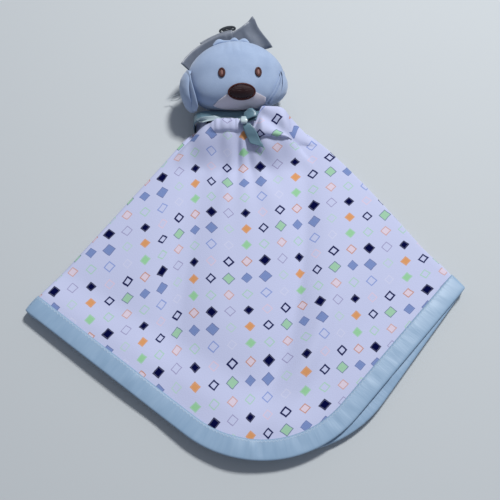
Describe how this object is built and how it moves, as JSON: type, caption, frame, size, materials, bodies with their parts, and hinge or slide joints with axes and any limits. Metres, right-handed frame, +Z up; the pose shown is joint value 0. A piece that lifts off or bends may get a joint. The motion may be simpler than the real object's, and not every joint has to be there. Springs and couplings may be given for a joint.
{
  "type": "comfort blanket lovey",
  "caption": "Comfort blanket with a stuffed puppy head at its middle, satin binding round the hem, a neck ribbon and satin tapes, lying folded in quarters.",
  "frame": {"origin": "on the surface it lies on, under the middle of its box", "axes": "+Z up out of the face it lies on, +Y from the blanket's corner towards the head, +X to the toy's right in the picture"},
  "size_m": [0.258, 0.2778, 0.0404],
  "materials": {
    "jersey": "white cotton jersey printed with small coloured diamonds",
    "satin": "light blue satin, soft sheen",
    "ribbon": "teal grey satin ribbon",
    "velour": "light blue velour, matt",
    "stuffing": "white polyester fibre",
    "muzzle": "pale grey pink velour, matt",
    "nose": "dark brown embroidery",
    "nose_border": "brown satin stitch",
    "eye": "dark brown satin stitch",
    "eye_centre": "light brown embroidery",
    "tape": "grey satin tape"
  },
  "bodies": {
    "blanket": {"blanket_cloth": "jersey", "blanket_binding": "satin", "neck_core": "velour", "ribbon_band": "ribbon", "ribbon_knot": "ribbon", "ribbon_loop": "ribbon"},
    "head": {"head_front": "velour", "head_back": "velour", "head_stuffing": "stuffing", "muzzle_patch": "muzzle", "nose_pad": "nose", "nose_border": "nose_border", "eye_left_rim": "eye", "eye_left_centre": "eye_centre", "eye_right_rim": "eye", "eye_right_centre": "eye_centre", "crown_gather": "velour"},
    "ear_left": {"ear_left_outer": "velour", "ear_left_inner": "velour"},
    "ear_right": {"ear_right_outer": "velour", "ear_right_inner": "velour"},
    "tape_left": {"tape_left_long": "tape", "tape_left_short": "tape"},
    "tape_right": {"tape_right": "tape"},
    "ribbon_end_right": {"ribbon_tail_right": "ribbon"},
    "ribbon_end_left": {"ribbon_tail_left": "ribbon"}
  },
  "joints": [
    {"name": "head_nod", "type": "hinge", "parent": "blanket", "child": "head", "pos_m": [-0.00384, 0.0744, 0.021], "axis": [1, 0, 0], "range_deg": [0, 40]},
    {"name": "ear_left_swing", "type": "hinge", "parent": "head", "child": "ear_left", "pos_m": [-0.04066, 0.09624, 0.02415], "axis": [-0.1392, 0.306, -0.9418], "range_deg": [0, 80]},
    {"name": "ear_right_swing", "type": "hinge", "parent": "head", "child": "ear_right", "pos_m": [0.02707, 0.10315, 0.0164], "axis": [0.1392, -0.306, 0.9418], "range_deg": [0, 80]},
    {"name": "tape_left_swing", "type": "hinge", "parent": "head", "child": "tape_left", "pos_m": [-0.00853, 0.11925, 0.013], "axis": [0.0523, -0.5977, -0.8], "range_deg": [0, 30]},
    {"name": "tape_right_swing", "type": "hinge", "parent": "head", "child": "tape_right", "pos_m": [-0.00601, 0.1195, 0.013], "axis": [-0.0484, 0.5963, 0.8013], "range_deg": [0, 40]},
    {"name": "ribbon_end_right_lift", "type": "hinge", "parent": "blanket", "child": "ribbon_end_right", "pos_m": [-0.00024, 0.06415, 0.0209], "axis": [-1, 0, 0], "range_deg": [0, 45]},
    {"name": "ribbon_end_left_lift", "type": "hinge", "parent": "blanket", "child": "ribbon_end_left", "pos_m": [-0.00384, 0.06735, 0.0209], "axis": [0, 1, 0], "range_deg": [0, 30]}
  ]
}
